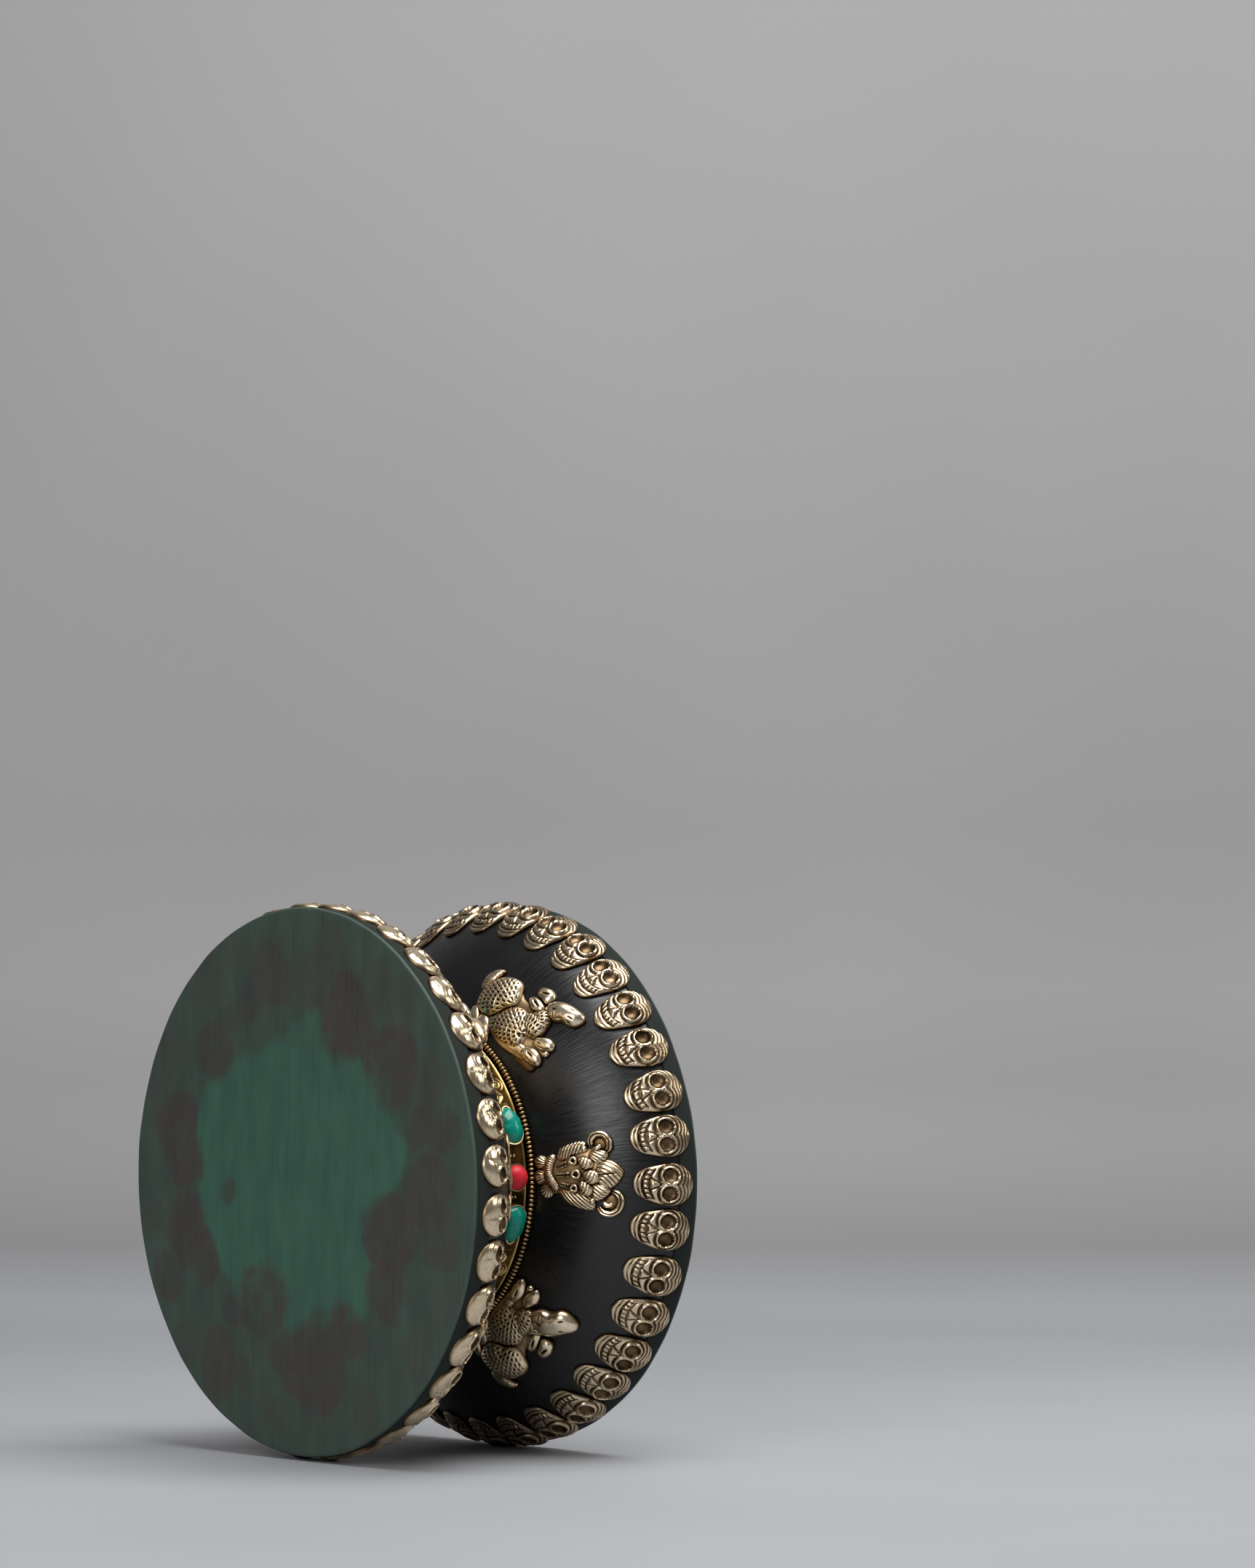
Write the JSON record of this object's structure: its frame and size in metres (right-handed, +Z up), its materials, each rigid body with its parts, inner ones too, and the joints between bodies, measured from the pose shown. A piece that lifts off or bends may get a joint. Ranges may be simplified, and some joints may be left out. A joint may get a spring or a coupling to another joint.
{
  "type": "hand drum",
  "caption": "Two-headed hourglass hand drum: two lacquered wooden bowls, painted skins, metal waist band with stones, embossed skulls and figures.",
  "frame": {"origin": "middle of the waist, on the drum's axis", "axes": "+X along the drum's axis from the left bowl to the right bowl, +Z up with the drum lying on its side, -Y the front"},
  "size_m": [0.12, 0.2332, 0.2332],
  "materials": {
    "lacquered_wood": "black lacquer, satin, brushed on",
    "painted_skin": "green paint on stretched skin, matte, blotched",
    "bare_wood": "turned, unfinished",
    "gilt_metal": "pale gilt sheet, embossed, dark in the recesses",
    "turquoise": "polished stone with fine dark veins",
    "coral": "polished, satin"
  },
  "bodies": {
    "drum": {"bowl_left": "lacquered_wood", "bowl_right": "lacquered_wood", "head_left": "painted_skin", "head_right": "painted_skin", "waist_tenon": "bare_wood", "waist_band": "gilt_metal", "beaded_wire_left": "gilt_metal", "beaded_wire_right": "gilt_metal", "skulls_left": "gilt_metal", "skulls_right": "gilt_metal", "turquoise_stones": "turquoise", "turquoise_bezels": "gilt_metal", "coral_stones": "coral", "coral_bezels": "gilt_metal", "strap_lug": "gilt_metal", "striker_cord_eye_upper": "gilt_metal", "striker_cord_eye_lower": "gilt_metal", "animal_upper_right_front": "gilt_metal", "mask_right_front": "gilt_metal", "animal_lower_right_front": "gilt_metal", "animal_upper_right_back": "gilt_metal", "mask_right_back": "gilt_metal", "animal_lower_right_back": "gilt_metal", "animal_upper_left_front": "gilt_metal", "mask_left_front": "gilt_metal", "animal_lower_left_front": "gilt_metal", "animal_upper_left_back": "gilt_metal", "mask_left_back": "gilt_metal", "animal_lower_left_back": "gilt_metal"},
    "ring": {"strap_ring": "gilt_metal"}
  },
  "joints": [
    {"name": "strap_ring_swing", "type": "hinge", "parent": "drum", "child": "ring", "pos_m": [0, 0.04727, -0.0525], "axis": [1, 0, 0], "range_deg": [-43, 127]}
  ]
}
